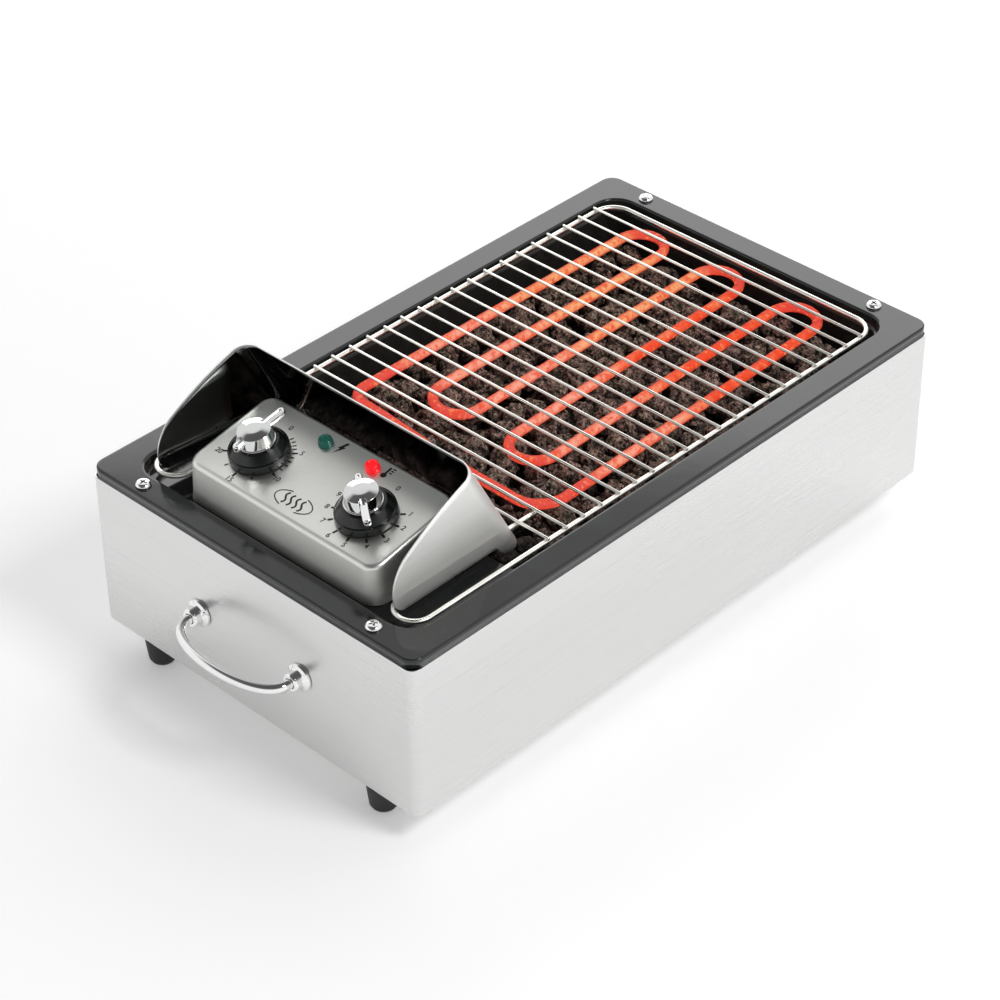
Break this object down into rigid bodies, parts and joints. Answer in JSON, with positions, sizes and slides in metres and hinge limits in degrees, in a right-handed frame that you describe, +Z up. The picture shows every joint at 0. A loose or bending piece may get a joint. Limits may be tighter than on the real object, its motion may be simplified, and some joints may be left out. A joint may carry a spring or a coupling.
{
  "type": "electric lava-rock barbecue grill",
  "caption": "Tabletop electric barbecue: steel casing, enamelled tray of lava rock, lift-out heating unit with timer and heat regulator, and a wire cooking grid with a heat shield.",
  "frame": {"origin": "on the floor, in the middle of the overall plan, below the feet", "axes": "+Z up, +X across to the right as seen from the controls, -Y towards the control and front handle end, +Y to the rear"},
  "size_m": [0.331, 0.6412, 0.2385],
  "materials": {
    "casing_steel": "brushed, fine horizontal grain",
    "shield_steel": "satin outside, bright polished inside",
    "plated_steel": "zinc plated",
    "chrome": "polished chrome",
    "enamel": "gloss black enamel",
    "rubber": "matte black rubber",
    "lava_rock": "rough, porous volcanic rock",
    "black_plastic": "gloss black moulded plastic",
    "ceramic": "unglazed white ceramic",
    "element_sheath": "metal sheath glowing orange-red",
    "green_lens": "translucent green lens",
    "red_lens": "translucent red lens"
  },
  "bodies": {
    "casing": {"outer_casing": "casing_steel", "base_plate": "plated_steel", "foot_front_left": "rubber", "foot_front_right": "rubber", "foot_rear_left": "rubber", "foot_rear_right": "rubber", "foot_screw_front_left": "plated_steel", "foot_screw_front_right": "plated_steel", "foot_screw_rear_left": "plated_steel", "foot_screw_rear_right": "plated_steel", "handle_bow_front": "chrome", "handle_bow_rear": "chrome", "handle_rosette_front_left": "chrome", "handle_rosette_front_right": "chrome", "handle_rosette_rear_left": "chrome", "handle_rosette_rear_right": "chrome", "handle_screw_front_left": "plated_steel", "handle_screw_front_right": "plated_steel", "handle_screw_rear_left": "plated_steel", "handle_screw_rear_right": "plated_steel", "cable_gland": "black_plastic", "gland_nut": "black_plastic", "enamel_tray": "enamel", "rim_screw_front_left": "chrome", "rim_screw_front_right": "chrome", "rim_screw_rear_left": "chrome", "rim_screw_rear_right": "chrome", "corner_bracket_front_left": "plated_steel", "corner_bracket_front_right": "plated_steel", "corner_bracket_rear_left": "plated_steel", "corner_bracket_rear_right": "plated_steel", "lava_rock_bed": "lava_rock"},
    "heater_unit": {"control_box_cover": "casing_steel", "control_box_base": "plated_steel", "timer_body": "plated_steel", "regulator_body": "ceramic", "terminal_block": "ceramic", "lamp_lens_green": "green_lens", "lamp_lens_red": "red_lens", "lamp_body_green": "black_plastic", "lamp_body_red": "black_plastic", "heating_element": "element_sheath", "element_gland_left": "chrome", "element_gland_right": "chrome"},
    "timer_knob": {"timer_knob_skirt": "black_plastic", "timer_knob_cap": "chrome", "timer_knob_lever": "chrome", "timer_knob_spindle": "plated_steel"},
    "regulator_knob": {"regulator_knob_skirt": "black_plastic", "regulator_knob_cap": "chrome", "regulator_knob_lever": "chrome", "regulator_knob_spindle": "plated_steel"},
    "grid": {"grid_ladder": "chrome", "grid_end_rear": "chrome", "grid_end_left": "chrome", "grid_end_right": "chrome", "heat_shield": "shield_steel"}
  },
  "joints": [
    {"name": "heater_unit_lift", "type": "slide", "parent": "casing", "child": "heater_unit", "axis": [0, 0, 1], "range_m": [0, 0.15]},
    {"name": "grid_lift", "type": "slide", "parent": "heater_unit", "child": "grid", "axis": [0, 0, 1], "range_m": [0, 0.15]},
    {"name": "timer_knob_turn", "type": "hinge", "parent": "heater_unit", "child": "timer_knob", "pos_m": [-0.055, -0.213, 0.19119], "axis": [0, 0.1908, -0.9816], "range_deg": [0, 240]},
    {"name": "regulator_knob_turn", "type": "hinge", "parent": "heater_unit", "child": "regulator_knob", "pos_m": [0.0528, -0.212, 0.19139], "axis": [0, 0.1908, -0.9816], "range_deg": [-127, 148]}
  ]
}
